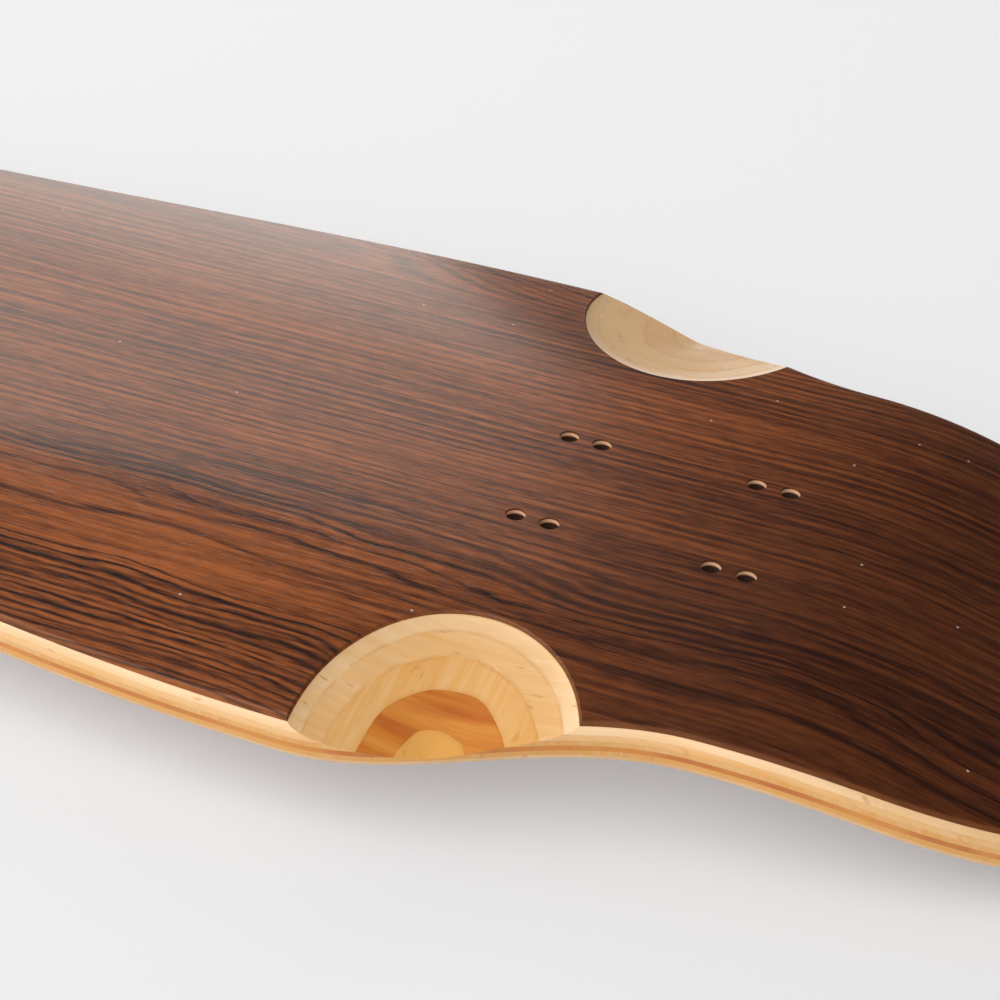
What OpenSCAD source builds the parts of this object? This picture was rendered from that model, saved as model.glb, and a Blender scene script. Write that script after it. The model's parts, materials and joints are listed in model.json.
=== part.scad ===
// Longboard deck, pressed from maple plies between two dark face veneers.
// It lies underside up, as a bare deck is shown: +Z leaves the truck side,
// X runs from tail to nose, and the two kicked tips stand on the plane z = 0.

/* [Outline] */
// Overall length, tail tip to nose tip
deck_length = 965; // [900:5:1160]
// Greatest width, at the flares just inboard of the wheels
flare_width = 230; // [205:1:276]
// Width at the middle of the deck
waist_width = 190; // [170:1:225]
// Width beside the trucks, where the nose and the tail begin
neck_width = 173; // [150:1:190]
// Distance from the deck's middle to the start of each flare's swell
swell_start = 5; // [5:5:80]
// Distance from a truck's centre inboard to the end of the swell
flare_reach = 60; // [58:1:120]
// Distance from a truck's centre inboard to the start of the wheel cutaway
cutaway_inboard = 56; // [35:1:58]
// Distance from a truck's centre outboard to the end of the wheel cutaway
cutaway_outboard = 39; // [15:1:50]
// Distance from a truck's centre outboard to where the tip starts to round
tip_start = 7; // [0:1:50]
// Squareness of the tips: 2 is an ellipse, more is blunter
tip_squareness = 2.8; // [2:0.1:3.4]

/* [Pressed shape] */
// Width of the flat strip along the centre line
flat_width = 80; // [55:1:90]
// Radius of the concave either side of the flat strip
concave_radius = 348; // [250:1:900]
// Rise of the deck's middle above the trucks when it is ridden
camber = 0; // [0:0.5:10]
// Distance from a truck's centre inboard to the start of the camber
pad_reach = 55; // [40:1:80]
// Distance from a truck's centre outboard to the start of the kick
kick_start = 39; // [38:1:60]
// Radius of the bend into the kick
kick_radius = 180; // [120:5:300]
// Steepness of the nose and the tail, in degrees
kick_angle = 14; // [6:0.5:20]

/* [Plies] */
// Thickness of one maple ply
ply_thickness = 1.4; // [1.1:0.1:1.8]
// Thickness of one face veneer
veneer_thickness = 0.6; // [0.5:0.1:1]
// Radius of the rounding along both edges
edge_radius = 4; // [2:0.5:5]

/* [Truck mounts] */
// Distance between the centres of the two truck hole patterns
truck_spacing = 640; // [530:5:680]
// Hole spacing across the deck
bolt_width = 41.275; // [38:0.025:44]
// Hole spacing along the deck for a short truck base
bolt_short = 53.975; // [50:0.025:56]
// Hole spacing along the deck for a long truck base
bolt_long = 63.5; // [62:0.025:66]
// Diameter of a bolt hole
bolt_hole = 5.5; // [5:0.1:5.6]

/* [Wheel wells] */
// Depth of a well at its deepest
well_depth = 7.4; // [4:0.1:8]
// Distance from a truck's centre inboard to a well's centre
well_inboard = 19.2; // [10:0.1:30]
// Distance from a flare's edge inward to a well's centre line
well_edge = 5.5; // [0:0.5:10]
// Half of a well's length along the deck
well_half_length = 35.5; // [25:0.1:43]
// Half of a well's length across the deck
well_half_width = 46.8; // [35:0.1:57]
// Lean of a well's long axis towards the tip, in degrees
well_lean = 5.3; // [0:0.1:12]
// Fullness of a well's wall: lower is steeper at the rim
well_fullness = 0.62; // [0.5:0.01:1]

/* [Hidden] */

ply_count = 7;
core_ply = 4;
cross_grain_plies = [3, 5];
veneer_colour = "#6b4128";
long_grain_colour = "#ecd2a4";
cross_grain_colour = "#e2bd84";
core_colour = "#d9984e";

// How finely the curves are divided
camber_steps = 6;
kick_steps = 6;
concave_steps = 5;
swell_steps = 8;
cutaway_steps = 10;
tip_steps = 20;
well_sides = 40;
well_rings = 6;
hole_sides = 32;

half_length = deck_length / 2;
truck_x = truck_spacing / 2;
pad_x = truck_x - pad_reach;
kick_x = truck_x + kick_start;
kick_run = kick_radius * sin(kick_angle);
thickness = ply_count * ply_thickness + 2 * veneer_thickness;
// The sheets are made this much larger than the outline, then trimmed to it
trim = 6;
// Cuts run this far past what they cut
overcut = 5;

// How far the outline of a sheet at this depth steps in, to follow the rounded edges
function edge_inset(depth) =
    let (from_face = min(depth, thickness - depth))
    let (short = max(edge_radius - from_face, 0))
    edge_radius - sqrt(pow(edge_radius, 2) - pow(short, 2));

// Drops of the underside face from the level of the truck pads
function concave_drop(y) = pow(max(abs(y) - flat_width / 2, 0), 2) / (2 * concave_radius);
function camber_drop(x) = abs(x) < pad_x ? camber * (1 + cos(180 * x / pad_x)) / 2 : 0;
function kick_tilt(x) =
    let (run = abs(x) - kick_x)
    run <= 0 ? 0 : run < kick_run ? asin(run / kick_radius) : kick_angle;
function kick_drop(x) =
    kick_radius * (1 - cos(kick_tilt(x))) + max(abs(x) - kick_x - kick_run, 0) * tan(kick_angle);

// Height of the truck pads, so that the lowest edge of the tips is at z = 0
tip_x = half_length - edge_inset(thickness - veneer_thickness / 2);
lift = kick_drop(tip_x) + thickness / cos(kick_tilt(tip_x));

// Height of the surface that lies this deep below the underside face
function sheet_z(x, y, depth) =
    lift - concave_drop(y) - camber_drop(x) - kick_drop(x) - depth / cos(kick_tilt(x));

// Outline: the half width at a distance from the deck's middle
function ease(t) = (1 - cos(180 * min(max(t, 0), 1))) / 2;
function mix(a, b, t) = a + (b - a) * t;
function side_width(x) =
    let (swell = ease((x - swell_start) / (swell_end - swell_start)))
    let (cut = ease((x - cut_start) / (cut_end - cut_start)))
    mix(mix(waist_width, flare_width, swell), neck_width, cut) / 2;
function tip_share(x) =
    let (along = (x - truck_x - tip_start) / (half_length - truck_x - tip_start))
    pow(1 - pow(min(max(along, 0), 1), tip_squareness), 1 / tip_squareness);
function half_width(x) = side_width(x) * tip_share(x);

// Distances from the middle at which the outline has a point: along the swell, along
// the cutaway, and round the tip, where the points close up as the curve tightens
swell_end = truck_x - flare_reach;
cut_start = truck_x - cutaway_inboard;
cut_end = truck_x + cutaway_outboard;
outline_x = concat(
    [0],
    [for (i = [0 : swell_steps]) mix(swell_start, swell_end, i / swell_steps)],
    [for (i = [0 : cutaway_steps]) mix(cut_start, cut_end, i / cutaway_steps)],
    [for (i = [1 : tip_steps]) mix(cut_end, half_length, sin(90 * i / tip_steps))]
);
outline_quarter = [for (x = outline_x) [x, half_width(x)]];

module outline() {
    for (nose = [0, 1], far = [0, 1])
        mirror([nose, 0])
            mirror([0, far])
                polygon(concat([[-1, -1]], [[-1, waist_width / 2]], outline_quarter, [[half_length, -1]]));
}

// One pressed sheet between two depths, as a grid of the formed surface
half_grid_x = concat(
    [for (i = [0 : camber_steps]) pad_x * i / camber_steps],
    [for (i = [0 : kick_steps]) kick_x + kick_radius * sin(kick_angle * i / kick_steps)],
    [max(half_length, kick_x + kick_run) + trim]
);
half_grid_y = concat(
    [for (i = [0 : concave_steps]) mix(flat_width, flare_width + 2 * trim, i / concave_steps) / 2]
);
function mirrored(half, from) = concat([for (i = [len(half) - 1 : -1 : from]) -half[i]], half);
grid_x = mirrored(half_grid_x, 1);
grid_y = mirrored(half_grid_y, 0);

module formed_sheet(from_depth, to_depth) {
    columns = len(grid_x);
    rows = len(grid_y);
    under = columns * rows;
    points = [
        for (depth = [from_depth, to_depth], x = grid_x, y = grid_y) [x, y, sheet_z(x, y, depth)]
    ];
    upper = [
        for (i = [0 : columns - 2], j = [0 : rows - 2])
            let (a = i * rows + j, b = a + rows)
            each [[a, a + 1, b + 1], [a, b + 1, b]]
    ];
    lower = [for (face = upper) [for (k = [2 : -1 : 0]) face[k] + under]];
    rim = concat(
        [for (i = [0 : columns - 1]) i * rows],
        [for (j = [1 : rows - 1]) (columns - 1) * rows + j],
        [for (i = [columns - 2 : -1 : 0]) i * rows + rows - 1],
        [for (j = [rows - 2 : -1 : 1]) j]
    );
    sides = [
        for (k = [0 : len(rim) - 1])
            let (a = rim[k], b = rim[(k + 1) % len(rim)])
            each [[a, b, b + under], [a, b + under, a + under]]
    ];
    polyhedron(points, concat(upper, lower, sides), convexity = 6);
}

// Solid that scoops one wheel well: rings that deepen from the rim to the centre
well_y = flare_width / 2 - well_edge;
function well_ring(depth) = 1 - pow(depth / well_depth, 1 / well_fullness);
function well_point(share, angle, depth) =
    let (u = share * well_half_length * cos(angle), v = share * well_half_width * sin(angle))
    let (x = truck_x - well_inboard + u * cos(well_lean) + v * sin(well_lean))
    let (y = well_y - u * sin(well_lean) + v * cos(well_lean))
    [x, y, sheet_z(x, y, depth)];

module well_scoop() {
    angles = [for (i = [0 : well_sides - 1]) 360 * i / well_sides];
    depths = [for (i = [0 : well_rings - 1]) well_depth * i / well_rings];
    top = [for (a = angles) well_point(1, a, -overcut)];
    rings = [for (depth = depths, a = angles) well_point(well_ring(depth), a, depth)];
    points = concat(top, rings, [well_point(0, 0, well_depth)]);
    last = len(points) - 1;
    walls = [
        for (ring = [0 : well_rings - 1], i = [0 : well_sides - 1])
            let (a = ring * well_sides + i, b = ring * well_sides + (i + 1) % well_sides)
            each [[a, b, b + well_sides], [a, b + well_sides, a + well_sides]]
    ];
    floor_start = well_rings * well_sides;
    floor_faces = [
        for (i = [0 : well_sides - 1]) [floor_start + i, floor_start + (i + 1) % well_sides, last]
    ];
    lid = [[for (i = [well_sides - 1 : -1 : 0]) i]];
    polyhedron(points, concat(walls, floor_faces, lid), convexity = 4);
}

module wheel_wells() {
    for (tail = [0, 1], far = [0, 1])
        mirror([tail, 0, 0])
            mirror([0, far, 0])
                well_scoop();
}

// Each truck pad has four outer holes for a long base. Four inner ones, each a short base
// away from the outer pair across the pad, take a short base in either of two places.
module truck_holes() {
    outer = bolt_long / 2;
    inner = bolt_short - outer;
    for (end = [-1, 1], along = [-outer, -inner, inner, outer], side = [-1, 1])
        translate([end * truck_x + along, side * bolt_width / 2, -overcut])
            cylinder(h = lift + 2 * overcut, d = bolt_hole, $fn = hole_sides);
}

// One glued layer of the deck, trimmed to the outline, scooped and drilled
module layer(from_depth, to_depth) {
    difference() {
        // The formed, trimmed and scooped sheet is one free-form body
        resize([0, 0, 0])
            difference() {
                intersection() {
                    formed_sheet(from_depth, to_depth);
                    linear_extrude(height = lift + overcut)
                        offset(delta = -edge_inset((from_depth + to_depth) / 2))
                            outline();
                }
                if (from_depth < well_depth)
                    wheel_wells();
            }
        truck_holes();
    }
}

module maple_ply(number) {
    start = veneer_thickness + (number - 1) * ply_thickness;
    crossed = len(search(number, cross_grain_plies)) > 0;
    color(number == core_ply ? core_colour : crossed ? cross_grain_colour : long_grain_colour)
        layer(start, start + ply_thickness);
}

module underside_veneer() {
    color(veneer_colour) layer(0, veneer_thickness);
}

module topside_veneer() {
    color(veneer_colour) layer(thickness - veneer_thickness, thickness);
}

underside_veneer();
maple_ply(1);  // maple_ply_1
maple_ply(2);  // maple_ply_2
maple_ply(3);  // maple_ply_3
maple_ply(4);  // maple_ply_4
maple_ply(5);  // maple_ply_5
maple_ply(6);  // maple_ply_6
maple_ply(7);  // maple_ply_7
topside_veneer();
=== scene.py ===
"""A pressed longboard deck, lying underside up: seven maple plies between two dark face veneers."""

import json
import math

import bmesh
import bpy
import numpy as np
from mathutils import Matrix, Vector


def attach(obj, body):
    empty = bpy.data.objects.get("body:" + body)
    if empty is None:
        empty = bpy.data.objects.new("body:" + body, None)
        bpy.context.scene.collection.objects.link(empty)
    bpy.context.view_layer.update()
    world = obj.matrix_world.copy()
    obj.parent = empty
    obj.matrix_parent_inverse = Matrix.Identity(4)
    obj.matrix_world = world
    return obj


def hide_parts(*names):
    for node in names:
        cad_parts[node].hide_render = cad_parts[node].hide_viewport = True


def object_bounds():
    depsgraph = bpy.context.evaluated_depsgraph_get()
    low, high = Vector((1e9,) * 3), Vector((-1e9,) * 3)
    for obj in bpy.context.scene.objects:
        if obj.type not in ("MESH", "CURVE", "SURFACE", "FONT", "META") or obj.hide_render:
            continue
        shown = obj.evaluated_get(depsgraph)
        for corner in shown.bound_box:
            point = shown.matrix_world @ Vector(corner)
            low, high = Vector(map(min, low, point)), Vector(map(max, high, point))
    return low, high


bl_info = {
    "name": "Pressed Longboard Deck",
    "version": (1, 0, 0),
    "blender": (4, 5, 0),
    "location": "View3D > Sidebar > Deck",
    "description": "Builds a pressed longboard deck: its veneers, its maple plies and a soft studio",
    "category": "Add Mesh",
}

MM = 0.001

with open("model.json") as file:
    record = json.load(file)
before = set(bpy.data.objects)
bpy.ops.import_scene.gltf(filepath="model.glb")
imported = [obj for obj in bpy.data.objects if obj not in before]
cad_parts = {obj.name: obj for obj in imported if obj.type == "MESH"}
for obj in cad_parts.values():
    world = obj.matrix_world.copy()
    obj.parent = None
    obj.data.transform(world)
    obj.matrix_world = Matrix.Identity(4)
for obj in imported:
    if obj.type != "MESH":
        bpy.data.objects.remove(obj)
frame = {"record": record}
CAD_LOW, CAD_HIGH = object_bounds()
RECORD = frame["record"]
MOUNTS = {mount["name"]: mount for mount in RECORD["mounts"]}
LONG_BASE = MOUNTS["nose_truck_long"]
SHORT_BASE = MOUNTS["nose_truck_short_outboard"]

PLY_NAMES = [f"maple_ply_{number}" for number in range(1, 8)]


# ---------------------------------------------------------------- sizes and colours


class DeckShape(bpy.types.PropertyGroup):
    """The sizes that the deck is cut and pressed to."""

    length: bpy.props.FloatProperty(
        name="Length",
        description="Overall length, tip to tip",
        default=CAD_HIGH[0] - CAD_LOW[0],
        subtype="DISTANCE",
        unit="LENGTH",
    )
    flare_width: bpy.props.FloatProperty(
        name="Flare width",
        description="Greatest width, just inboard of the wheels",
        default=CAD_HIGH[1] - CAD_LOW[1],
        subtype="DISTANCE",
        unit="LENGTH",
    )
    waist_width: bpy.props.FloatProperty(
        name="Waist width",
        description="Width at the middle of the deck",
        default=190 * MM,
        subtype="DISTANCE",
        unit="LENGTH",
    )
    neck_width: bpy.props.FloatProperty(
        name="Neck width",
        description="Width beside the trucks, where the nose and the tail begin",
        default=173 * MM,
        subtype="DISTANCE",
        unit="LENGTH",
    )
    pad_height: bpy.props.FloatProperty(
        name="Pad height",
        description="Height of the truck pads over the floor",
        default=LONG_BASE["pos_m"][2],
        subtype="DISTANCE",
        unit="LENGTH",
    )
    ply_thickness: bpy.props.FloatProperty(
        name="Ply thickness",
        description="Thickness of one maple ply",
        default=1.4 * MM,
        subtype="DISTANCE",
        unit="LENGTH",
    )
    veneer_thickness: bpy.props.FloatProperty(
        name="Veneer thickness",
        description="Thickness of one face veneer",
        default=0.6 * MM,
        subtype="DISTANCE",
        unit="LENGTH",
    )
    edge_radius: bpy.props.FloatProperty(
        name="Edge radius",
        description="Radius of the rounding along both edges",
        default=4 * MM,
        subtype="DISTANCE",
        unit="LENGTH",
    )
    well_depth: bpy.props.FloatProperty(
        name="Well depth",
        description="Depth of a wheel well at its deepest",
        default=7.4 * MM,
        subtype="DISTANCE",
        unit="LENGTH",
    )


class DeckFinish(bpy.types.PropertyGroup):
    """The colours of the woods."""

    veneer_light: bpy.props.StringProperty(
        name="Veneer, light wood", description="sRGB hex", default="9c5526"
    )
    veneer_mid: bpy.props.StringProperty(
        name="Veneer, middle wood", description="sRGB hex", default="4a1f0a"
    )
    veneer_line: bpy.props.StringProperty(
        name="Veneer, growth lines", description="sRGB hex", default="1e0702"
    )
    maple_pale: bpy.props.StringProperty(
        name="Maple, pale", description="sRGB hex", default="e9c394"
    )
    maple_honey: bpy.props.StringProperty(
        name="Maple, honey", description="sRGB hex", default="d99c4c"
    )
    maple_warm: bpy.props.StringProperty(
        name="Maple, heartwood", description="sRGB hex", default="c9741f"
    )
    floor: bpy.props.StringProperty(
        name="Floor", description="sRGB hex", default="ecedee"
    )


# ---------------------------------------------------------------- the shape of the deck

TRUCK_X = LONG_BASE["pos_m"][0]
BOLT_WIDTH = LONG_BASE["dims"]["spacing_y_mm"] * MM
OUTER_BOLT = LONG_BASE["dims"]["spacing_x_mm"] / 2 * MM
INNER_BOLT = SHORT_BASE["dims"]["spacing_x_mm"] * MM - OUTER_BOLT
HOLE_RADIUS = LONG_BASE["dims"]["hole_r_mm"] * MM

SWELL_START = 5 * MM
SWELL_END = TRUCK_X - 60 * MM
CUT_START = TRUCK_X - 56 * MM
CUT_END = TRUCK_X + 39 * MM
TIP_START = TRUCK_X + 7 * MM
TIP_SQUARENESS = 2.8

FLAT_WIDTH = 80 * MM
CONCAVE_RADIUS = 348 * MM
CAMBER = 0 * MM
PAD_START = TRUCK_X - 55 * MM
KICK_START = TRUCK_X + 39 * MM
KICK_RADIUS = 180 * MM
KICK_ANGLE = math.radians(14)

WELL_X = TRUCK_X - 19.2 * MM
WELL_EDGE = 5.5 * MM
WELL_HALF_LENGTH = 35.5 * MM
WELL_HALF_WIDTH = 46.8 * MM
WELL_LEAN = math.radians(5.3)
WELL_FULLNESS = 0.62
# Height of the waves that hand sanding leaves in a well
SANDING_WAVES = 0.13 * MM

# Spacing of the points along the sides, and how many points round each tip
SIDE_STEP = 3.5 * MM
TIP_POINTS = 44
# Rows across the face that shows on a veneer, and across a glued face
FACE_ROWS = 56
GLUED_ROWS = 16
# Places nearer than this are one place
SAME_PLACE = 0.0001 * MM


def ease(share):
    """A smooth step from 0 to 1."""
    return (1 - np.cos(np.pi * np.clip(share, 0, 1))) / 2


def half_width(shape, x):
    """Half of the deck's width at a distance from its middle."""
    swell = ease((x - SWELL_START) / (SWELL_END - SWELL_START))
    cut = ease((x - CUT_START) / (CUT_END - CUT_START))
    side = shape.waist_width + (shape.flare_width - shape.waist_width) * swell
    side = side + (shape.neck_width - side) * cut
    along = np.clip((x - TIP_START) / (shape.length / 2 - TIP_START), 0, 1)
    return side / 2 * (1 - along**TIP_SQUARENESS) ** (1 / TIP_SQUARENESS)


def outline(shape):
    """Points and outward normals of one side of the outline, tail tip to nose tip."""
    straight = np.arange(0, CUT_END, SIDE_STEP)
    turn = np.linspace(0, np.pi / 2, TIP_POINTS)
    tip = CUT_END + (shape.length / 2 - CUT_END) * np.sin(turn)
    half = np.concatenate([straight, tip])
    x = np.concatenate([-half[:0:-1], half])
    y = half_width(shape, np.abs(x))
    slope_x = np.gradient(x)
    slope_y = np.gradient(y)
    size = np.hypot(slope_x, slope_y)
    normal_x = -slope_y / size
    normal_y = slope_x / size
    normal_x[0], normal_y[0] = -1, 0
    normal_x[-1], normal_y[-1] = 1, 0
    return x, y, normal_x, normal_y


def edge_profile(shape, start, end, thickness):
    """(inset, depth) pairs down the rounded edge, between two depths."""
    radius = shape.edge_radius
    step = math.radians(3)

    def arc(near, far):
        """Turns of the rounding between two distances from its face."""
        low, high = (math.acos(max(min(1 - depth / radius, 1), 0)) for depth in (near, far))
        return np.linspace(low, high, max(math.ceil(abs(high - low) / step), 1) + 1)

    pairs = []
    if start < radius:
        for turn in arc(start, min(end, radius)):
            pairs.append((radius * (1 - math.sin(turn)), radius * (1 - math.cos(turn))))
    elif start <= thickness - radius:
        pairs.append((0, start))
    straight_end = min(end, thickness - radius)
    if straight_end > max(start, radius):
        pairs.append((0, straight_end))
    if end > thickness - radius:
        for turn in arc(min(thickness - start, radius), thickness - end):
            depth = thickness - radius * (1 - math.cos(turn))
            if not pairs or abs(pairs[-1][1] - depth) > SAME_PLACE:
                pairs.append((radius * (1 - math.sin(turn)), depth))
    return pairs


def row_shares(rows, half, narrow_edges):
    """Positions across a face, from -1 to 1, with narrow rows near both edges where asked."""
    shares = np.linspace(-1, 1, rows + 1)
    if not narrow_edges:
        return np.repeat(shares[None, :], len(half), axis=0)
    offsets = np.array([0, 0.35, 1.1, 2.6]) * MM
    # Where the deck is very narrow, the edge rows take less than a third of each side
    most = 0.3 * offsets / offsets[-1]
    edges = np.minimum(offsets[None, :] / np.maximum(half[:, None], 1e-6), most[None, :])
    middle = shares[None, 1:-1] * (1 - edges[:, -1:]) * (rows / (rows - 2)) * 0.985
    left = -1 + edges
    right = 1 - edges[:, ::-1]
    return np.concatenate([left, np.clip(middle, left[:, -1:], right[:, :1]), right], axis=1)


def flat_layer(shape, name, start, end, thickness, rows_up, rows_down):
    """One glued layer as it would lie before pressing: z is minus the depth."""
    x, y, normal_x, normal_y = outline(shape)
    pairs = edge_profile(shape, start, end, thickness)
    loops = []

    def side_of(pair):
        inset, depth = pair
        return x - normal_x * inset, np.maximum(y - normal_y * inset, 0), np.full_like(x, -depth)

    def face_rows(pair, rows, direction):
        px, py, pz = side_of(pair)
        for share in row_shares(rows, py, rows == FACE_ROWS)[:, ::direction].T:
            loops.append(np.stack([px, py * share, pz], axis=1))

    def wall_row(pair, side):
        px, py, pz = side_of(pair)
        loops.append(np.stack([px, side * py, pz], axis=1))

    face_rows(pairs[0], rows_up, 1)
    for pair in pairs[1:-1]:
        wall_row(pair, 1)
    face_rows(pairs[-1], rows_down, -1)
    for pair in pairs[-2:0:-1]:
        wall_row(pair, -1)

    count = len(loops)
    points = np.stack(loops, axis=1).reshape(-1, 3)
    faces = []
    for i in range(len(x) - 1):
        for j in range(count):
            k = (j + 1) % count
            faces.append((i * count + j, (i + 1) * count + j, (i + 1) * count + k, i * count + k))
    mesh = bpy.data.meshes.new(name)
    mesh.from_pydata(points.tolist(), [], faces)
    close_mesh(mesh)
    return mesh


def close_mesh(mesh):
    """Merges doubles, drops faces with no area and points every face outwards."""
    work = bmesh.new()
    work.from_mesh(mesh)
    bmesh.ops.remove_doubles(work, verts=work.verts, dist=0.002 * MM)
    bmesh.ops.dissolve_degenerate(work, dist=0.001 * MM, edges=work.edges)
    bmesh.ops.recalc_face_normals(work, faces=work.faces)
    work.to_mesh(mesh)
    work.free()


def scoop_ring(shape, end, side, angles, share, depth):
    """One ring of a scoop at this share of its full size, with the waves of hand sanding."""
    u = share * WELL_HALF_LENGTH * np.cos(angles)
    v = share * WELL_HALF_WIDTH * np.sin(angles)
    px = WELL_X + u * math.cos(WELL_LEAN) + v * math.sin(WELL_LEAN)
    py = shape.flare_width / 2 - WELL_EDGE - u * math.sin(WELL_LEAN) + v * math.cos(WELL_LEAN)
    waves = np.sin(3 * angles + 1.3 * end) + np.sin(5 * angles + 7 * share + 2.1 * side)
    waves = waves + np.sin(9 * angles - 11 * share + end * side) * 0.6
    deep = depth + SANDING_WAVES * waves * max(depth, 0) / shape.well_depth * share
    return np.stack([end * px, side * py, -deep], axis=1).tolist()


def well_scoop(shape, name):
    """The four solids that scoop the wheel wells, as they would be before pressing."""
    sides = 144
    rings = 40
    clear = 6 * MM
    angles = np.linspace(0, 2 * np.pi, sides, endpoint=False)
    depths = shape.well_depth * np.sin(np.linspace(0, np.pi / 2, rings + 1)[:-1])
    points = []
    faces = []
    for end, side in ((-1, -1), (-1, 1), (1, -1), (1, 1)):
        base = len(points)
        points += scoop_ring(shape, end, side, angles, 1, -clear)
        for depth in depths:
            share = 1 - (depth / shape.well_depth) ** (1 / WELL_FULLNESS)
            points += scoop_ring(shape, end, side, angles, share, depth)
        floor = len(points)
        points.append((end * WELL_X, side * (shape.flare_width / 2 - WELL_EDGE), -shape.well_depth))
        for ring in range(rings):
            for i in range(sides):
                a = base + ring * sides + i
                b = base + ring * sides + (i + 1) % sides
                faces.append((a, b, b + sides, a + sides))
        last = floor - sides
        faces += [(last + i, last + (i + 1) % sides, floor) for i in range(sides)]
        faces.append(tuple(range(base, base + sides)))
    mesh = bpy.data.meshes.new(name)
    mesh.from_pydata(points, [], faces)
    close_mesh(mesh)
    return mesh


# ---------------------------------------------------------------- node helpers


def add_node(tree, kind, inputs=None, output=0, **settings):
    """Adds a node, applies its settings, fills its inputs with values or links, and returns an output."""
    node = tree.nodes.new(kind)
    for name, value in settings.items():
        setattr(node, name, value)
    for key, value in (inputs or {}).items():
        if isinstance(value, bpy.types.NodeSocket):
            tree.links.new(value, node.inputs[key])
        else:
            node.inputs[key].default_value = value
    return node.outputs[output] if len(node.outputs) else node


def linear(hex_colour):
    """An sRGB hex colour as linear RGBA."""
    channels = [int(hex_colour[i : i + 2], 16) / 255 for i in (0, 2, 4)]
    return tuple(c / 12.92 if c <= 0.04045 else ((c + 0.055) / 1.055) ** 2.4 for c in channels) + (1.0,)


def new_tree(name, inputs):
    """A geometry node group with a geometry input, these named inputs and a geometry output."""
    tree = bpy.data.node_groups.new(name, "GeometryNodeTree")
    tree.interface.new_socket("Geometry", in_out="OUTPUT", socket_type="NodeSocketGeometry")
    tree.interface.new_socket("Geometry", in_out="INPUT", socket_type="NodeSocketGeometry")
    for label, kind in inputs:
        tree.interface.new_socket(label, in_out="INPUT", socket_type=kind)
    tree.nodes.new("NodeGroupInput")
    return tree


def group_input(tree, label):
    """The output of the group's input node with this label."""
    node = next(n for n in tree.nodes if n.bl_idname == "NodeGroupInput")
    return node.outputs[label]


def use_tree(piece, tree, values):
    """Adds the tree to a piece, with its inputs set by their identifiers."""
    modifier = piece.modifiers.new(tree.name, "NODES")
    modifier.node_group = tree
    for item in tree.interface.items_tree:
        if item.in_out == "INPUT" and item.name in values:
            modifier[item.identifier] = values[item.name]
    return modifier


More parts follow.
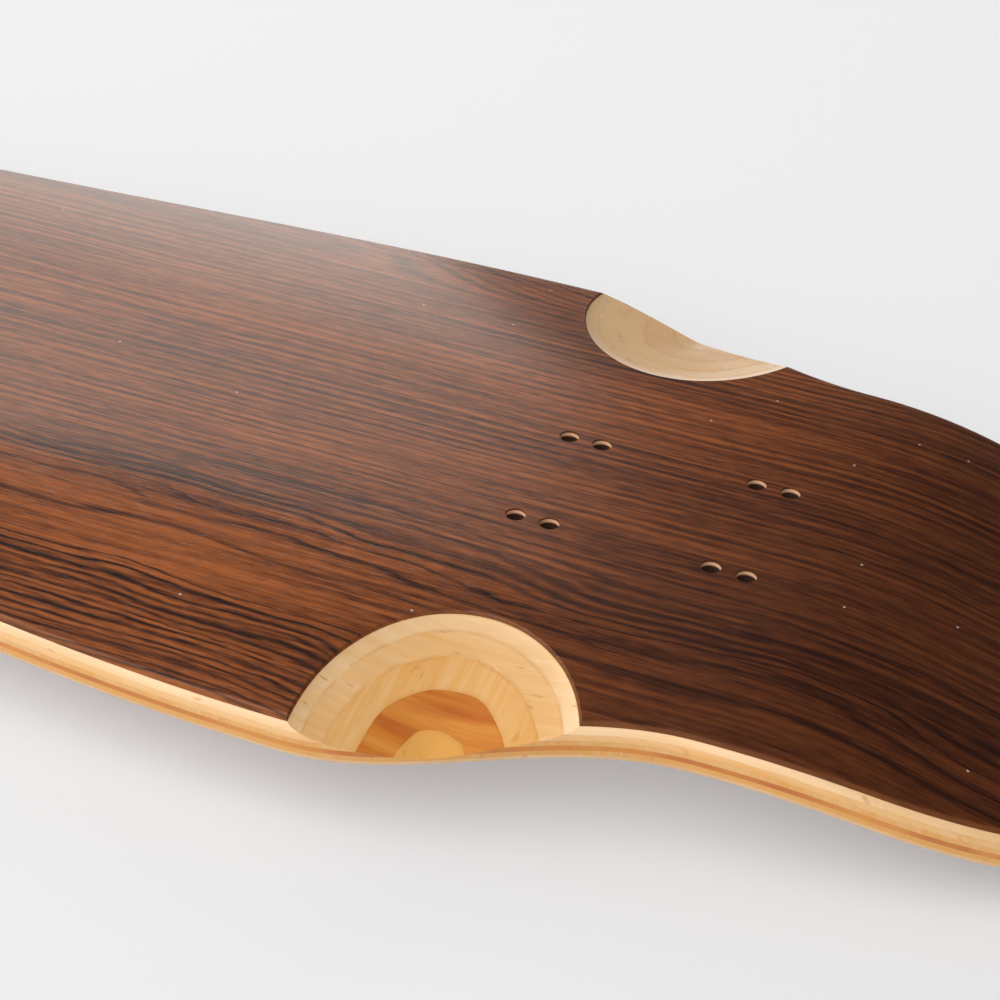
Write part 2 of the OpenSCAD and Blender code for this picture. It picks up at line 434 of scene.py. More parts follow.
def press_tree():
    """Bends a flat layer into the mould's shape: concave, camber and kicks."""
    labels = ["Pad Height", "Flat Width", "Concave Radius", "Camber", "Pad Start"]
    labels += ["Kick Start", "Kick Radius", "Kick Angle", "Layer Top", "Layer Bottom", "Sheet", "Warmth"]
    labels += ["Truck Centre", "Outer Bolt", "Inner Bolt", "Bolt Side", "Hole Radius"]
    kinds = [(label, "NodeSocketFloat") for label in labels]
    tree = new_tree("press_to_mould", kinds + [("Material", "NodeSocketMaterial")])
    place = add_node(tree, "GeometryNodeInputPosition")
    parts = add_node(tree, "ShaderNodeSeparateXYZ", {0: place}).node
    x, y, z = parts.outputs

    # The concave rises as a circle's arc either side of the flat strip
    half_flat = group_input(tree, "Flat Width")
    half_flat = add_node(tree, "ShaderNodeMath", {0: half_flat, 1: 0.5}, operation="MULTIPLY")
    side = add_node(tree, "ShaderNodeMath", {0: y}, operation="ABSOLUTE")
    side = add_node(tree, "ShaderNodeMath", {0: side, 1: half_flat}, operation="SUBTRACT")
    side = add_node(tree, "ShaderNodeMath", {0: side, 1: 0.0}, operation="MAXIMUM")
    side = add_node(tree, "ShaderNodeMath", {0: side, 1: 2.0}, operation="POWER")
    across = group_input(tree, "Concave Radius")
    across = add_node(tree, "ShaderNodeMath", {0: across, 1: 2.0}, operation="MULTIPLY")
    concave = add_node(tree, "ShaderNodeMath", {0: side, 1: across}, operation="DIVIDE")

    # The camber is a bell between the truck pads
    along = add_node(tree, "ShaderNodeMath", {0: x}, operation="ABSOLUTE")
    share = {0: along, 1: group_input(tree, "Pad Start")}
    share = add_node(tree, "ShaderNodeMath", share, operation="DIVIDE", use_clamp=True)
    bell = add_node(tree, "ShaderNodeMath", {0: share, 1: math.pi}, operation="MULTIPLY")
    bell = add_node(tree, "ShaderNodeMath", {0: bell}, operation="COSINE")
    bell = add_node(tree, "ShaderNodeMath", {0: bell, 1: 0.5, 2: 0.5}, operation="MULTIPLY_ADD")
    camber = add_node(tree, "ShaderNodeMath", {0: bell, 1: group_input(tree, "Camber")}, operation="MULTIPLY")

    # The kick follows an arc until it reaches its angle, then runs straight
    angle = group_input(tree, "Kick Angle")
    radius = group_input(tree, "Kick Radius")
    start = group_input(tree, "Kick Start")
    run = add_node(tree, "ShaderNodeMath", {0: along, 1: start}, operation="SUBTRACT")
    steepest = add_node(tree, "ShaderNodeMath", {0: angle}, operation="SINE")
    tilt = add_node(tree, "ShaderNodeMath", {0: run, 1: radius}, operation="DIVIDE")
    tilt = add_node(tree, "ShaderNodeMath", {0: tilt, 1: 0.0}, operation="MAXIMUM")
    tilt = add_node(tree, "ShaderNodeMath", {0: tilt, 1: steepest}, operation="MINIMUM")
    tilt = add_node(tree, "ShaderNodeMath", {0: tilt}, operation="ARCSINE")
    level = add_node(tree, "ShaderNodeMath", {0: tilt}, operation="COSINE")
    bend = add_node(tree, "ShaderNodeMath", {0: 1.0, 1: level}, operation="SUBTRACT")
    bend = add_node(tree, "ShaderNodeMath", {0: bend, 1: radius}, operation="MULTIPLY")
    arc = add_node(tree, "ShaderNodeMath", {0: radius, 1: steepest}, operation="MULTIPLY")
    rest = add_node(tree, "ShaderNodeMath", {0: run, 1: arc}, operation="SUBTRACT")
    rest = add_node(tree, "ShaderNodeMath", {0: rest, 1: 0.0}, operation="MAXIMUM")
    slope = add_node(tree, "ShaderNodeMath", {0: angle}, operation="TANGENT")
    kick = add_node(tree, "ShaderNodeMath", {0: rest, 1: slope, 2: bend}, operation="MULTIPLY_ADD")

    deep = add_node(tree, "ShaderNodeMath", {0: z, 1: level}, operation="DIVIDE")
    height = group_input(tree, "Pad Height")
    for drop in (concave, camber, kick):
        height = add_node(tree, "ShaderNodeMath", {0: height, 1: drop}, operation="SUBTRACT")
    height = add_node(tree, "ShaderNodeMath", {0: height, 1: deep}, operation="ADD")
    formed = add_node(tree, "ShaderNodeCombineXYZ", {0: x, 1: y, 2: height})

    # Each point keeps how far through its own layer it lies, for the glue lines
    depth = add_node(tree, "ShaderNodeMath", {0: z, 1: -1.0}, operation="MULTIPLY")
    top = group_input(tree, "Layer Top")
    into = add_node(tree, "ShaderNodeMath", {0: depth, 1: top}, operation="SUBTRACT")
    bottom = group_input(tree, "Layer Bottom")
    thick = add_node(tree, "ShaderNodeMath", {0: bottom, 1: top}, operation="SUBTRACT")
    through = add_node(tree, "ShaderNodeMath", {0: into, 1: thick}, operation="DIVIDE")

    # Points on the wall of a bolt hole keep their depth, which the maple uses to paint shade further into the
    # hole
    distances = []
    off_truck = add_node(
        tree, "ShaderNodeMath", {0: along, 1: group_input(tree, "Truck Centre")}, operation="SUBTRACT"
    )
    for coordinate, label in ((off_truck, "Outer Bolt"), (off_truck, "Inner Bolt"), (y, "Bolt Side")):
        away = add_node(tree, "ShaderNodeMath", {0: coordinate}, operation="ABSOLUTE")
        away = add_node(tree, "ShaderNodeMath", {0: away, 1: group_input(tree, label)}, operation="SUBTRACT")
        distances.append(add_node(tree, "ShaderNodeMath", {0: away}, operation="ABSOLUTE"))
    off_outer, off_inner, off_y = distances
    off_x = add_node(tree, "ShaderNodeMath", {0: off_outer, 1: off_inner}, operation="MINIMUM")
    off_hole = add_node(tree, "ShaderNodeCombineXYZ", {0: off_x, 1: off_y})
    off_hole = add_node(tree, "ShaderNodeVectorMath", {0: off_hole}, output=1, operation="LENGTH")
    reach = group_input(tree, "Hole Radius")
    reach = add_node(tree, "ShaderNodeMath", {0: reach, 1: 1.05}, operation="MULTIPLY")
    on_wall = add_node(tree, "ShaderNodeMath", {0: off_hole, 1: reach}, operation="LESS_THAN")
    bore = add_node(tree, "ShaderNodeMath", {0: on_wall, 1: depth}, operation="MULTIPLY")

    marked = group_input(tree, "Geometry")
    marks = {
        "through_layer": through,
        "sheet": group_input(tree, "Sheet"),
        "warmth": group_input(tree, "Warmth"),
        "bore_depth": bore,
    }
    for name, value in marks.items():
        marked = add_node(
            tree,
            "GeometryNodeStoreNamedAttribute",
            {"Geometry": marked, "Name": name, "Value": value},
            data_type="FLOAT",
            domain="POINT",
        )
    pressed = add_node(tree, "GeometryNodeSetPosition", {"Geometry": marked, "Position": formed})
    real = add_node(tree, "GeometryNodeRealizeInstances", {"Geometry": pressed})
    material = group_input(tree, "Material")
    done = add_node(tree, "GeometryNodeSetMaterial", {"Geometry": real, "Material": material})
    add_node(tree, "NodeGroupOutput", {0: done})
    return tree


def bolt_hole_tree():
    """Drill blanks for both truck patterns: two rows of two pairs at each end."""
    labels = ["Truck Spacing", "Outer Spacing", "Inner Spacing", "Bolt Width", "Hole Radius", "Drill Length"]
    kinds = [(label, "NodeSocketFloat") for label in labels]
    tree = new_tree("bolt_holes", kinds + [("Material", "NodeSocketMaterial")])

    def pair(label, axis):
        spacing = group_input(tree, label)
        half = add_node(tree, "ShaderNodeMath", {0: spacing, 1: -0.5}, operation="MULTIPLY")
        start = add_node(tree, "ShaderNodeCombineXYZ", {axis: half})
        offset = add_node(tree, "ShaderNodeCombineXYZ", {axis: spacing})
        ends = {"Count": 2, "Start Location": start, "Offset": offset}
        return add_node(tree, "GeometryNodeMeshLine", ends, mode="OFFSET")

    ends = pair("Truck Spacing", 0)
    outer = pair("Outer Spacing", 0)
    inner = pair("Inner Spacing", 0)
    across = pair("Bolt Width", 1)
    sizes = {"Vertices": 64, "Radius": group_input(tree, "Hole Radius")}
    sizes["Depth"] = group_input(tree, "Drill Length")
    drill = add_node(tree, "GeometryNodeMeshCylinder", sizes)
    along = add_node(tree, "GeometryNodeJoinGeometry", {0: outer})
    tree.links.new(inner, along.node.inputs[0])
    placed = drill
    for points in (across, along, ends):
        placed = add_node(tree, "GeometryNodeInstanceOnPoints", {"Points": points, "Instance": placed})
    real = add_node(tree, "GeometryNodeRealizeInstances", {"Geometry": placed})
    material = group_input(tree, "Material")
    done = add_node(tree, "GeometryNodeSetMaterial", {"Geometry": real, "Material": material})
    add_node(tree, "NodeGroupOutput", {0: done})
    return tree


# ---------------------------------------------------------------- building the pieces


def new_piece(name, mesh):
    """A new object at the origin that holds this mesh."""
    piece = bpy.data.objects.new(name, mesh)
    bpy.context.scene.collection.objects.link(piece)
    return piece


def bake(piece, name):
    """Turns a piece and its modifiers into a plain mesh on a new object."""
    depsgraph = bpy.context.evaluated_depsgraph_get()
    mesh = bpy.data.meshes.new_from_object(piece.evaluated_get(depsgraph))
    mesh.name = name
    bpy.data.objects.remove(piece)
    mesh.shade_smooth()
    mesh.set_sharp_from_angle(angle=math.radians(24))
    return new_piece(name, mesh)


def cutter(name, build):
    """A hidden cutting solid, made once and shared by every layer."""
    if name in bpy.data.objects:
        return bpy.data.objects[name]
    return build()


def bolt_drill():
    """The sixteen drill blanks as one mesh."""
    start = new_piece("drill_start", bpy.data.meshes.new("drill_start"))
    values = {
        "Truck Spacing": 2 * TRUCK_X,
        "Outer Spacing": 2 * OUTER_BOLT,
        "Inner Spacing": 2 * INNER_BOLT,
        "Bolt Width": BOLT_WIDTH,
        "Hole Radius": HOLE_RADIUS,
        "Drill Length": 60 * MM,
    }
    use_tree(start, bolt_hole_tree(), values)
    return bake(start, "bolt_drill")


def make_layer(shape, node, start, end, thickness, material, slot, rows_up, rows_down, sheet, warmth):
    """Cuts, scoops, drills and presses one layer, and stands it in for its CAD node."""
    flat = new_piece(node + "_flat", flat_layer(shape, node, start, end, thickness, rows_up, rows_down))
    tools = [cutter("bolt_drill", bolt_drill)]
    if start < shape.well_depth:
        tools.append(cutter("well_scoop", lambda: new_piece("well_scoop", well_scoop(shape, "well_scoop"))))
    for tool in tools:
        cut = flat.modifiers.new(tool.name, "BOOLEAN")
        cut.operation = "DIFFERENCE"
        cut.solver = "MANIFOLD"
        cut.object = tool
    if "press_to_mould" not in bpy.data.node_groups:
        press_tree()
    values = {
        "Pad Height": shape.pad_height,
        "Flat Width": FLAT_WIDTH,
        "Concave Radius": CONCAVE_RADIUS,
        "Camber": CAMBER,
        "Pad Start": PAD_START,
        "Kick Start": KICK_START,
        "Kick Radius": KICK_RADIUS,
        "Kick Angle": KICK_ANGLE,
        "Layer Top": start,
        "Layer Bottom": end,
        "Sheet": float(sheet),
        "Warmth": warmth,
        "Truck Centre": TRUCK_X,
        "Outer Bolt": OUTER_BOLT,
        "Inner Bolt": INNER_BOLT,
        "Bolt Side": BOLT_WIDTH / 2,
        "Hole Radius": HOLE_RADIUS,
        "Material": material,
    }
    use_tree(flat, bpy.data.node_groups["press_to_mould"], values)
    piece = bake(flat, node + "_sheet")
    if not piece.data.polygons:
        raise RuntimeError(f"{node} was cut away altogether: check its thickness and the well depth")
    piece.data.materials.clear()
    piece.data.materials.append(material)
    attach(piece, "root")
    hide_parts(node)


def remove_cutters():
    """Takes the cutting solids out of the scene once every layer is cut."""
    for name in ("bolt_drill", "well_scoop"):
        if name in bpy.data.objects:
            bpy.data.objects.remove(bpy.data.objects[name])


# ---------------------------------------------------------------- materials

# Settings of a range whose value rises smoothly from its first limit to its second
SMOOTH = {"interpolation_type": "SMOOTHSTEP"}


def new_material(name):
    """An empty node material, its tree, and its place in millimetres, moved a little for each sheet."""
    material = bpy.data.materials.new(name)
    material.use_nodes = True
    tree = material.node_tree
    tree.nodes.clear()
    place = add_node(tree, "ShaderNodeTexCoord", output=3)
    place = add_node(tree, "ShaderNodeVectorMath", {0: place, "Scale": 1000.0}, operation="SCALE")
    sheet = add_node(tree, "ShaderNodeAttribute", output=2, attribute_name="sheet")
    shift = add_node(tree, "ShaderNodeCombineXYZ", {0: 311.0, 1: 47.0, 2: 0.0})
    shift = add_node(tree, "ShaderNodeVectorMath", {0: shift, "Scale": sheet}, operation="SCALE")
    place = add_node(tree, "ShaderNodeVectorMath", {0: place, 1: shift}, operation="ADD")
    return material, tree, place


def fibres(tree, place, size, detail=2.0, seed=0.0, turn=0.0, low=0.0, high=1.0):
    """Noise drawn out into streaks: size is the length and width of one streak in millimetres."""
    if turn:
        place = add_node(
            tree, "ShaderNodeMapping", {"Vector": place, "Rotation": (0, 0, turn)}, vector_type="POINT"
        )
    stretch = (1 / size[0], 1 / size[1], 0.0)
    place = {0: place, 1: stretch, 2: (seed, seed, seed)}
    place = add_node(tree, "ShaderNodeVectorMath", place, operation="MULTIPLY_ADD")
    noise = add_node(tree, "ShaderNodeTexNoise", {"Vector": place, "Scale": 1.0, "Detail": detail})
    return add_node(
        tree, "ShaderNodeMapRange", {0: noise, 1: low, 2: high, 3: 0.0, 4: 1.0}, interpolation_type="LINEAR"
    )


def weighted_sum(tree, parts, base=0.0):
    """Adds up (value, weight) pairs to a base."""
    total = base
    for value, weight in parts:
        total = add_node(tree, "ShaderNodeMath", {0: value, 1: weight, 2: total}, operation="MULTIPLY_ADD")
    return total


def layered(tree, wood, layers):
    """Lays colours over the wood one after another: each is (where it shows, how strongly, sRGB hex)."""
    for where, strength, colour in layers:
        share = add_node(tree, "ShaderNodeMath", {0: where, 1: strength}, operation="MULTIPLY")
        colours = {0: share, 6: wood, 7: linear(colour)}
        wood = add_node(tree, "ShaderNodeMix", colours, output=2, data_type="RGBA")
    return wood


def finish_wood(material, tree, colour, height, depth, roughness, coat_roughness, coat=1.0):
    """Wood under clear lacquer: the grain shows through, and the coat follows the open pores.

    Depth is the height of the pores in millimetres.
    """
    bump = add_node(tree, "ShaderNodeBump", {"Strength": 1.0, "Distance": depth * MM, "Height": height})
    surface = add_node(
        tree,
        "ShaderNodeBsdfPrincipled",
        {
            "Base Color": colour,
            "Normal": bump,
            "Coat Normal": bump,
            "Roughness": roughness,
            "IOR": 1.5,
            "Specular IOR Level": 0.1,
            "Coat Weight": coat,
            "Coat Roughness": coat_roughness,
            "Coat IOR": 1.5,
        },
    )
    add_node(tree, "ShaderNodeOutputMaterial", {0: surface})
    return material


def lacquered_rosewood(finish):
    """Rosewood, sliced flat into a thin veneer and sprayed with clear lacquer.

    Gives the eye near-black growth lines about 3 mm apart on warm brown, which part round a plain
    belly, with fine streaks and open pores along the grain under a soft shine. Lengths are in
    millimetres. The pores are drawn about twice as wide as real ones, so that they show.
    """
    material, tree, place = new_material("rosewood_veneer_clear_lacquer")
    parts = add_node(tree, "ShaderNodeSeparateXYZ", {0: place}).node
    x, y = parts.outputs[0], parts.outputs[1]

    # The growth lines wander slowly, ripple a little, and sink beside the belly
    sway = fibres(tree, place, (330, 150), 1.0, 3.0)
    ripple = fibres(tree, place, (42, 12), 2.0, 7.0)
    tremble = fibres(tree, place, (9, 2.4), 2.0, 5.0)
    lower = add_node(tree, "ShaderNodeMapRange", {0: y, 1: -8.0, 2: -52.0}, **SMOOTH)
    sink = add_node(tree, "ShaderNodeMapRange", {0: x, 1: 235.0, 2: 330.0}, **SMOOTH)
    sink = add_node(tree, "ShaderNodeMath", {0: sink, 1: lower}, operation="MULTIPLY")
    course = weighted_sum(
        tree, [(sway, 16.0), (ripple, 3.6), (tremble, 1.7), (sink, 10.0), (y, 1.0)], -10.6
    )
    off_belly = add_node(tree, "ShaderNodeMath", {0: course, 1: 62.0}, operation="ADD")
    off_belly = add_node(tree, "ShaderNodeMath", {0: off_belly}, operation="ABSOLUTE")
    near_belly = add_node(tree, "ShaderNodeMapRange", {0: off_belly, 1: 42.0, 2: 12.0}, **SMOOTH)
    wander = fibres(tree, place, (70, 24), 1.5, 11.0, low=0.2, high=0.8)
    wander = add_node(tree, "ShaderNodeMath", {0: wander, 1: -0.5}, operation="ADD")
    wander = add_node(tree, "ShaderNodeMath", {0: wander, 1: near_belly}, operation="MULTIPLY")
    course = weighted_sum(tree, [(wander, 13.0)], course)

    # Growth lines are counted across the sheet; the count hardly rises over the two plain bellies
    lower_belly = add_node(tree, "ShaderNodeMapRange", {0: course, 1: -80.0, 2: -46.0, 4: 28.5}, **SMOOTH)
    upper_fade = add_node(tree, "ShaderNodeMapRange", {0: x, 1: 290.0, 2: 170.0}, **SMOOTH)
    upper_belly = add_node(tree, "ShaderNodeMapRange", {0: course, 1: 78.0, 2: 108.0, 4: 24.0}, **SMOOTH)
    upper_belly = add_node(tree, "ShaderNodeMath", {0: upper_belly, 1: upper_fade}, operation="MULTIPLY")
    count = weighted_sum(tree, [(lower_belly, -1.0), (upper_belly, -1.0)], course)
    low_side = add_node(tree, "ShaderNodeMath", {0: course, 1: -84.0}, operation="MINIMUM")
    count = weighted_sum(tree, [(low_side, 0.35)], count)
    count = add_node(tree, "ShaderNodeMath", {0: count, 1: 1 / 3.1}, operation="MULTIPLY")
    spread = {"W": count, "Scale": 0.37, "Detail": 1.0}
    spread = add_node(tree, "ShaderNodeTexNoise", spread, noise_dimensions="1D")
    count = weighted_sum(tree, [(spread, 1.2)], count)
    line = add_node(tree, "ShaderNodeMath", {0: count}, operation="ROUND")
    off_line = add_node(tree, "ShaderNodeMath", {0: count, 1: line}, operation="SUBTRACT")
    off_line = add_node(tree, "ShaderNodeMath", {0: off_line}, operation="ABSOLUTE")

    # Each line has its own width and darkness, darkens and fades along its length, and frays.
    # Inside the belly lines are thin, and beside it they are heavy.
    own = add_node(tree, "ShaderNodeTexWhiteNoise", {"W": line}, noise_dimensions="1D")
    along_line = fibres(tree, place, (75, 5), 2.0, 17.0, low=0.25, high=0.75)
    bands = {"W": count, "Scale": 0.16, "Detail": 1.0}
    bands = add_node(tree, "ShaderNodeTexNoise", bands, noise_dimensions="1D")
    bands = add_node(tree, "ShaderNodeMapRange", {0: bands, 1: 0.3, 2: 0.7})
    half_line = weighted_sum(tree, [(own, 0.14), (along_line, 0.16), (bands, 0.08)], 0.06)
    slack = {0: off_belly, 1: 21.0, 2: 13.0, 3: 1.0, 4: 0.26}
    slack = add_node(tree, "ShaderNodeMapRange", slack, **SMOOTH)
    half_line = add_node(tree, "ShaderNodeMath", {0: half_line, 1: slack}, operation="MULTIPLY")
    frayed = fibres(tree, place, (17, 0.9), 3.0, 53.0, low=0.28, high=0.72)
    heavy = add_node(tree, "ShaderNodeMapRange", {0: off_belly, 1: 31.0, 2: 25.0}, **SMOOTH)
    outside = add_node(tree, "ShaderNodeMapRange", {0: off_belly, 1: 16.0, 2: 21.0}, **SMOOTH)
    heavy = add_node(tree, "ShaderNodeMath", {0: heavy, 1: outside}, operation="MULTIPLY")
    half_line = weighted_sum(tree, [(frayed, 0.22), (heavy, 0.16)], half_line)
    dark = add_node(tree, "ShaderNodeMapRange", {0: off_line, 1: half_line, 2: 0.0}, **SMOOTH)
    rim = add_node(tree, "ShaderNodeMapRange", {0: off_belly, 1: 27.0, 2: 15.0}, **SMOOTH)
    dense = add_node(tree, "ShaderNodeMapRange", {0: course, 1: -74.0, 2: -86.0}, **SMOOTH)
    strength = weighted_sum(
        tree, [(own, 0.3), (along_line, 0.5), (frayed, 0.5), (bands, 0.2), (dense, 0.3), (rim, 0.35)], -0.25
    )
    dark = add_node(tree, "ShaderNodeMath", {0: dark, 1: strength}, operation="MULTIPLY", use_clamp=True)

    # Between the lines the wood shades from orange brown to brown, with fine streaks and pores
    clouds = fibres(tree, place, (120, 22), 3.0, 19.0, low=0.3, high=0.7)
    streaks = fibres(tree, place, (90, 1.7), 3.0, 23.0, low=0.32, high=0.68)
    threads = fibres(tree, place, (22, 0.6), 2.0, 29.0, low=0.3, high=0.7)
    mottle = fibres(tree, place, (7, 1.5), 3.0, 61.0, low=0.32, high=0.68)
    pores = fibres(tree, place, (5.5, 0.5), 1.0, 31.0, low=0.6, high=0.72)
    belly_light = add_node(tree, "ShaderNodeMapRange", {0: off_belly, 1: 20.0, 2: 8.0}, **SMOOTH)
    tone = weighted_sum(
        tree,
        [(clouds, 0.4), (streaks, 0.75), (threads, 0.4), (mottle, 0.4), (belly_light, 0.1), (dense, 0.15)],
        -0.5,
    )
    tone = add_node(tree, "ShaderNodeClamp", {0: tone})
    colours = {0: tone, 6: linear(finish.veneer_mid), 7: linear(finish.veneer_light)}
    wood = add_node(tree, "ShaderNodeMix", colours, output=2, data_type="RGBA")

    # Painted shade: the veneer is darkened towards the nose, standing in for the weaker light and sheen on
    # the kick
    spot = add_node(tree, "ShaderNodeTexCoord", output=3)
    spot = add_node(tree, "ShaderNodeSeparateXYZ", {0: spot}).node
    slant = weighted_sum(tree, [(spot.outputs[1], -0.45)], spot.outputs[0])
    painted_nose_shade = add_node(tree, "ShaderNodeMapRange", {0: slant, 1: 270 * MM, 2: 405 * MM}, **SMOOTH)

    # The cut edge of the veneer is bare and a little paler than its face
    through = add_node(tree, "ShaderNodeAttribute", output=2, attribute_name="through_layer")
    cut = add_node(tree, "ShaderNodeMapRange", {0: through, 1: 0.02, 2: 0.3}, **SMOOTH)
    lacquer = add_node(tree, "ShaderNodeMath", {0: 1.0, 1: cut}, operation="SUBTRACT")

    # A few specks of pale dust lie on the lacquer, one in a few of the 14 mm cells
    cell = {"Vector": place, "Scale": 1 / 14}
    cell = add_node(tree, "ShaderNodeTexVoronoi", cell, feature="F1", voronoi_dimensions="2D").node
    speck = add_node(
        tree, "ShaderNodeMapRange", {0: cell.outputs["Distance"], 1: 0.034, 2: 0.018}, **SMOOTH
    )
    chance = add_node(tree, "ShaderNodeSeparateColor", {0: cell.outputs["Color"]})
    chance = add_node(tree, "ShaderNodeMath", {0: chance, 1: 0.94}, operation="GREATER_THAN")
    speck = add_node(tree, "ShaderNodeMath", {0: speck, 1: chance}, operation="MULTIPLY")

    layers = [
        (pores, 0.4, finish.veneer_line),
        (dark, 1.0, finish.veneer_line),
        # Painted shade, darker towards the nose
        (painted_nose_shade, 0.66, "220a04"),
        (cut, 0.35, "8f5a35"),
        (speck, 0.55, "d9cbbd"),
    ]
    wood = layered(tree, wood, layers)
    height = weighted_sum(tree, [(pores, -0.6), (threads, 0.25), (dark, -0.3)], 0.7)
    return finish_wood(material, tree, wood, height, 0.03, 0.5, 0.2, lacquer)


def lacquered_maple(name, pale, warm, far_side_colour, streak_colour, turn, streak_share, fleck_share, mark_share):
    """Rotary-cut hard maple, sanded and clear lacquered.

    Gives the eye a smooth, light wood with faint streaks along its grain, a few tan flecks, thin
    glue lines at its faces, and the pale hairline marks of the sander. Lengths are in millimetres.
    The sanding marks are drawn coarser than real ones, so that they show.
    """
    material, tree, place = new_material(name)
    tone = add_node(tree, "ShaderNodeAttribute", output=2, attribute_name="warmth")
    clouds = fibres(tree, place, (70, 16), 3.0, 2.0, turn, 0.3, 0.7)
    streaks = fibres(tree, place, (48, 2.4), 3.0, 5.0, turn, 0.35, 0.7)
    threads = fibres(tree, place, (14, 0.7), 2.0, 9.0, turn, 0.3, 0.7)
    tone = weighted_sum(tree, [(clouds, 0.45), (streaks, 0.3), (threads, 0.16), (tone, 1.0)], -0.4)
    colours = {0: tone, 6: linear(pale), 7: linear(warm)}
    wood = add_node(tree, "ShaderNodeMix", colours, output=2, data_type="RGBA")
    rays = fibres(tree, place, (38, 5), 4.0, 13.0, turn, 0.44, 0.7)
    flecks = fibres(tree, place, (6, 2.2), 1.0, 41.0, turn, 0.68, 0.75)

    # The heartwood colour fades to another colour towards the far side of the sheet
    spot = add_node(tree, "ShaderNodeTexCoord", output=3)
    spot = add_node(tree, "ShaderNodeSeparateXYZ", {0: spot}, output=1)
    side = add_node(tree, "ShaderNodeMapRange", {0: spot, 1: 0.0, 2: 90 * MM}, **SMOOTH)

    # The sander's marks lie in patches, across the grain at a slant
    marks = fibres(tree, place, (42, 0.45), 1.0, 37.0, 0.62, 0.62, 0.74)
    patches = fibres(tree, place, (30, 22), 1.0, 43.0, 0.0, 0.55, 0.72)
    marks = add_node(tree, "ShaderNodeMath", {0: marks, 1: patches}, operation="MULTIPLY")

    # Broken glue lines run where one sheet meets the next
    through = add_node(tree, "ShaderNodeAttribute", output=2, attribute_name="through_layer")
    centre = add_node(tree, "ShaderNodeMath", {0: through, 1: 0.5}, operation="SUBTRACT")
    centre = add_node(tree, "ShaderNodeMath", {0: centre}, operation="ABSOLUTE")
    glue = add_node(tree, "ShaderNodeMapRange", {0: centre, 1: 0.34, 2: 0.5}, **SMOOTH)
    broken = fibres(tree, place, (9, 7), 2.0, 47.0, low=0.35, high=0.7)
    glue = add_node(tree, "ShaderNodeMath", {0: glue, 1: broken}, operation="MULTIPLY")

    # The walls of the bolt holes are bare wood painted very pale near the face, as painted light, and dark
    # further in, as painted shadow inside the hole
    bore = add_node(tree, "ShaderNodeAttribute", output=2, attribute_name="bore_depth")
    drilled = add_node(tree, "ShaderNodeMath", {0: bore, 1: 0.0}, operation="GREATER_THAN")
    painted_hole_shade = add_node(tree, "ShaderNodeMapRange", {0: bore, 1: 1.3 * MM, 2: 1.9 * MM}, **SMOOTH)

    layers = [
        (rays, streak_share, streak_colour),
        (side, 0.75, far_side_colour),
        (flecks, fleck_share, "b8762f"),
        (marks, mark_share, "fbf1e0"),
        (glue, 0.3, "b5702f"),
        # Painted light on the hole walls near the face, then painted shadow deeper in
        (drilled, 1.0, "fcc8a0"),
        (painted_hole_shade, 0.95, "1f0a04"),
    ]
    wood = layered(tree, wood, layers)
    height = weighted_sum(tree, [(threads, 0.4), (marks, -0.6)], 0.6)
    return finish_wood(material, tree, wood, height, 0.02, 0.5, 0.2)


def matte(name, colour, roughness):
    """An even, unglazed surface."""
    material = bpy.data.materials.new(name)
    material.use_nodes = True
    tree = material.node_tree
    tree.nodes.clear()
    look = {"Base Color": linear(colour), "Roughness": roughness}
    surface = add_node(tree, "ShaderNodeBsdfPrincipled", look)
    add_node(tree, "ShaderNodeOutputMaterial", {0: surface})
    return material


# ---------------------------------------------------------------- the studio

FLOOR_HALF = 14
# Daylight fills the room from this side
ROOM_GLOW = (-0.45, -0.85, 0.25)
# Soft suns: name, direction, strength, spread in degrees, and whether it casts a shadow
SUNS = [
    ("ceiling", (-0.3, -0.4, 0.9), 1.2, 60, False),
    ("front_window", (-0.15, -0.85, 0.45), 0.65, 60, True),
    ("side_window", (-0.85, 0.05, 0.6), 0.6, 50, True),
]
# Panels of light: name, direction, distance, width, height, watts, tint, and whether it casts a shadow
PANELS = [
    ("back_window", (-0.55, 0.8, 0.33), 3, 2.2, 1.9, 26, (1.0, 0.89, 0.82), True),
    ("strip_light", (-0.6, -0.3, 0.74), 2, 1.1, 0.35, 9, (1.0, 1.0, 1.0), False),
]
# The camera's place from the nose truck's centre, and its right, down and forward directions
CAMERA_OFFSET = Vector((0.1403, -0.5194, 0.3709))
CAMERA_RIGHT = Vector((0.92929573, 0.36594192, 0.04995954))
CAMERA_DOWN = Vector((0.24750403, -0.51662476, -0.81965884))
CAMERA_AHEAD = Vector((-0.2741372, 0.77407065, -0.57066928))
CAMERA_LENS = 88.2


def aim(context, light, direction, distance):
    """Places a light this far from the deck's middle in a direction, and turns it to the deck."""
    lamp = bpy.data.objects.new(light.name, light)
    context.scene.collection.objects.link(lamp)
    direction = Vector(direction).normalized()
    lamp.location = direction * distance
    lamp.rotation_euler = direction.to_track_quat("Z", "Y").to_euler()


def room_light():
    """A world that glows softly from one side."""
    world = bpy.data.worlds.new("studio_room")
    world.use_nodes = True
    tree = world.node_tree
    tree.nodes.clear()
    direction = add_node(tree, "ShaderNodeTexCoord", output=0)
    facing = {0: direction, 1: Vector(ROOM_GLOW).normalized()}
    facing = add_node(tree, "ShaderNodeVectorMath", facing, output=1, operation="DOT_PRODUCT")
    glow = add_node(tree, "ShaderNodeMapRange", {0: facing, 1: -0.1, 2: 0.9, 3: 0.05, 4: 0.7}, **SMOOTH)
    light = add_node(tree, "ShaderNodeBackground", {0: (1, 1, 1, 1), 1: glow})
    add_node(tree, "ShaderNodeOutputWorld", {0: light})
    return world


# ---------------------------------------------------------------- operators


def layer_depths(shape):
    """The depth of every glued face, from the underside."""
    depths = [0, shape.veneer_thickness]
    for _ in PLY_NAMES:
        depths.append(depths[-1] + shape.ply_thickness)
    depths.append(depths[-1] + shape.veneer_thickness)
    return depths


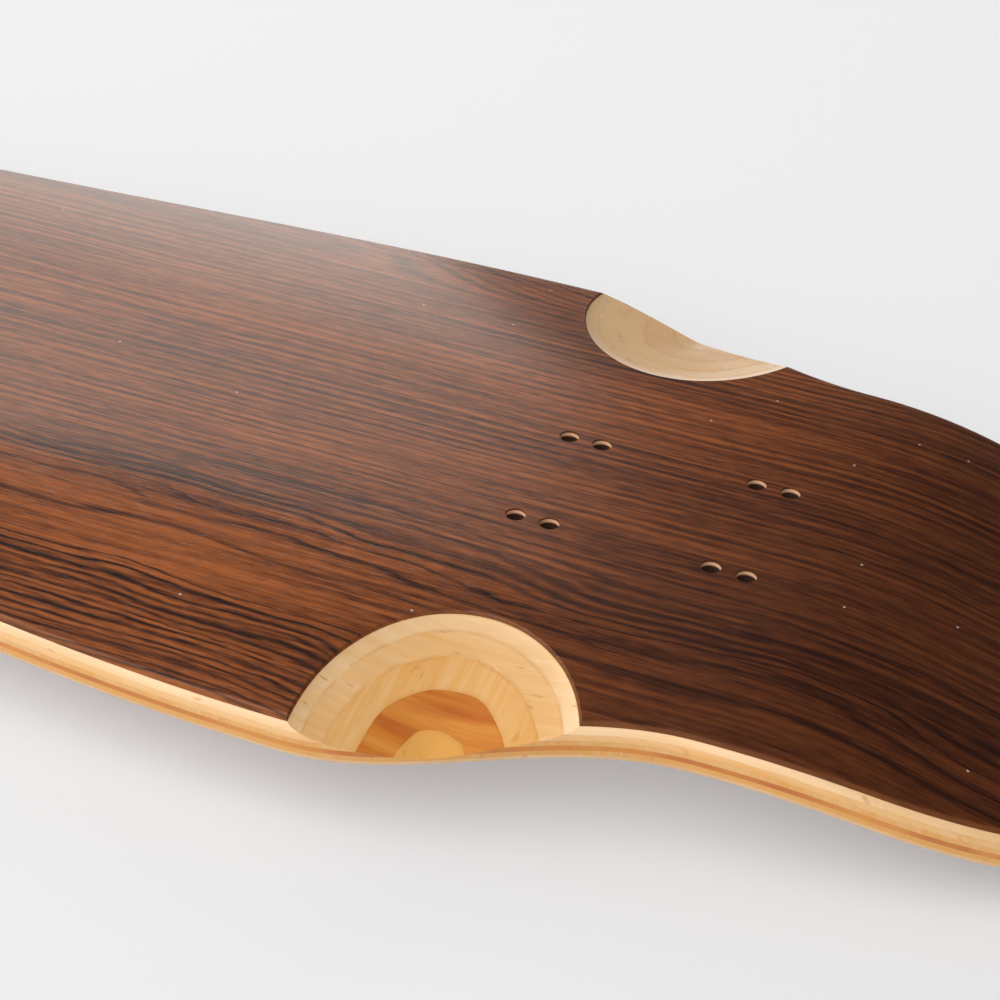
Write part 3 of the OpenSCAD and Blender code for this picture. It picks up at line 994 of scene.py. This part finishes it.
class DECK_OT_face_veneers(bpy.types.Operator):
    """Makes the two dark face veneers"""

    bl_idname = "deck.face_veneers"
    bl_label = "Face Veneers"

    def execute(self, context):
        shape = context.scene.deck_shape
        depths = layer_depths(shape)
        material = lacquered_rosewood(context.scene.deck_finish)
        rest = (depths[-1], material, "face_veneer")
        make_layer(shape, "underside_veneer", depths[0], depths[1], *rest, FACE_ROWS, GLUED_ROWS, 0, 0.0)
        make_layer(shape, "topside_veneer", depths[-2], depths[-1], *rest, GLUED_ROWS, FACE_ROWS, 8, 0.0)
        return {"FINISHED"}


class DECK_OT_maple_plies(bpy.types.Operator):
    """Makes the seven maple plies between the veneers"""

    bl_idname = "deck.maple_plies"
    bl_label = "Maple Plies"

    def execute(self, context):
        shape = context.scene.deck_shape
        finish = context.scene.deck_finish
        pale, honey = finish.maple_pale, finish.maple_honey
        depths = layer_depths(shape)
        long_grain = lacquered_maple(
            "maple_long_grain_clear_lacquer", pale, honey, pale, "d9a564", 0.0, 0.35, 0.5, 0.2
        )
        cross_grain = lacquered_maple(
            "maple_cross_grain_clear_lacquer", pale, honey, pale, "d9a05c", math.pi / 2, 0.4, 0.3, 0.2
        )
        core = lacquered_maple(
            "maple_heartwood_clear_lacquer", honey, finish.maple_warm, pale, "b0561c", 0.0, 0.85, 0.0, 0.0
        )
        plies = [
            (long_grain, "maple_long_grain", 0.1),
            (long_grain, "maple_long_grain", 0.45),
            (cross_grain, "maple_cross_grain", 0.75),
            (core, "maple_core", 0.6),
            (cross_grain, "maple_cross_grain", 1.05),
            (long_grain, "maple_long_grain", 0.45),
            (long_grain, "maple_long_grain", 0.45),
        ]
        for number, (node, (material, slot, warmth)) in enumerate(zip(PLY_NAMES, plies), start=1):
            ends = depths[number], depths[number + 1], depths[-1]
            make_layer(shape, node, *ends, material, slot, GLUED_ROWS, GLUED_ROWS, number, warmth)
        return {"FINISHED"}


class DECK_OT_studio(bpy.types.Operator):
    """Sets up the pale floor, the soft lights and the camera"""

    bl_idname = "deck.studio"
    bl_label = "Studio"

    def execute(self, context):
        scene = context.scene
        mesh = bpy.data.meshes.new("floor")
        size = FLOOR_HALF
        corners = [(-size, -size, 0), (size, -size, 0), (size, size, 0), (-size, size, 0)]
        mesh.from_pydata(corners, [], [(0, 1, 2, 3)])
        floor = new_piece("floor", mesh)
        mesh.materials.append(matte("white_paper", scene.deck_finish.floor, 0.9))
        scene.world = room_light()
        scene.view_settings.view_transform = "Standard"
        for name, direction, strength, spread, shadow in SUNS:
            sun = bpy.data.lights.new(name, "SUN")
            sun.energy = strength
            sun.angle = math.radians(spread)
            sun.use_shadow = shadow
            aim(context, sun, direction, 3)
        for name, direction, distance, width, height, watts, tint, shadow in PANELS:
            panel = bpy.data.lights.new(name, "AREA")
            panel.shape = "RECTANGLE"
            panel.size = width
            panel.size_y = height
            panel.energy = watts
            panel.color = tint
            panel.use_shadow = shadow
            aim(context, panel, direction, distance)
        data = bpy.data.cameras.new("camera")
        data.lens = CAMERA_LENS
        data.sensor_width = 36
        data.clip_start = 0.01
        camera = bpy.data.objects.new("camera", data)
        scene.collection.objects.link(camera)
        turn = Matrix((CAMERA_RIGHT, -CAMERA_DOWN, -CAMERA_AHEAD)).transposed()
        place = Vector(LONG_BASE["pos_m"]) + CAMERA_OFFSET
        camera.matrix_world = Matrix.Translation(place) @ turn.to_4x4()
        scene.camera = camera
        return {"FINISHED"}


class DECK_PT_sidebar(bpy.types.Panel):
    """Lists the deck's sizes, colours and steps in the sidebar"""

    bl_label = "Longboard Deck"
    bl_space_type = "VIEW_3D"
    bl_region_type = "UI"
    bl_category = "Deck"

    def draw(self, context):
        for group in (context.scene.deck_shape, context.scene.deck_finish):
            for name in group.__annotations__:
                self.layout.prop(group, name)
        for step in STEPS:
            self.layout.operator(step.bl_idname)


STEPS = (DECK_OT_face_veneers, DECK_OT_maple_plies, DECK_OT_studio)
CLASSES = (DeckShape, DeckFinish) + STEPS + (DECK_PT_sidebar,)


def register():
    """Adds the classes and their settings to Blender."""
    for item in CLASSES:
        bpy.utils.register_class(item)
    bpy.types.Scene.deck_shape = bpy.props.PointerProperty(type=DeckShape)
    bpy.types.Scene.deck_finish = bpy.props.PointerProperty(type=DeckFinish)


def unregister():
    """Takes the classes and their settings away again."""
    del bpy.types.Scene.deck_finish
    del bpy.types.Scene.deck_shape
    for item in reversed(CLASSES):
        bpy.utils.unregister_class(item)


def main():
    """Builds the whole deck and its studio."""
    register()
    bpy.ops.deck.face_veneers()
    bpy.ops.deck.maple_plies()
    remove_cutters()
    bpy.ops.deck.studio()


if __name__ == "__main__":
    main()
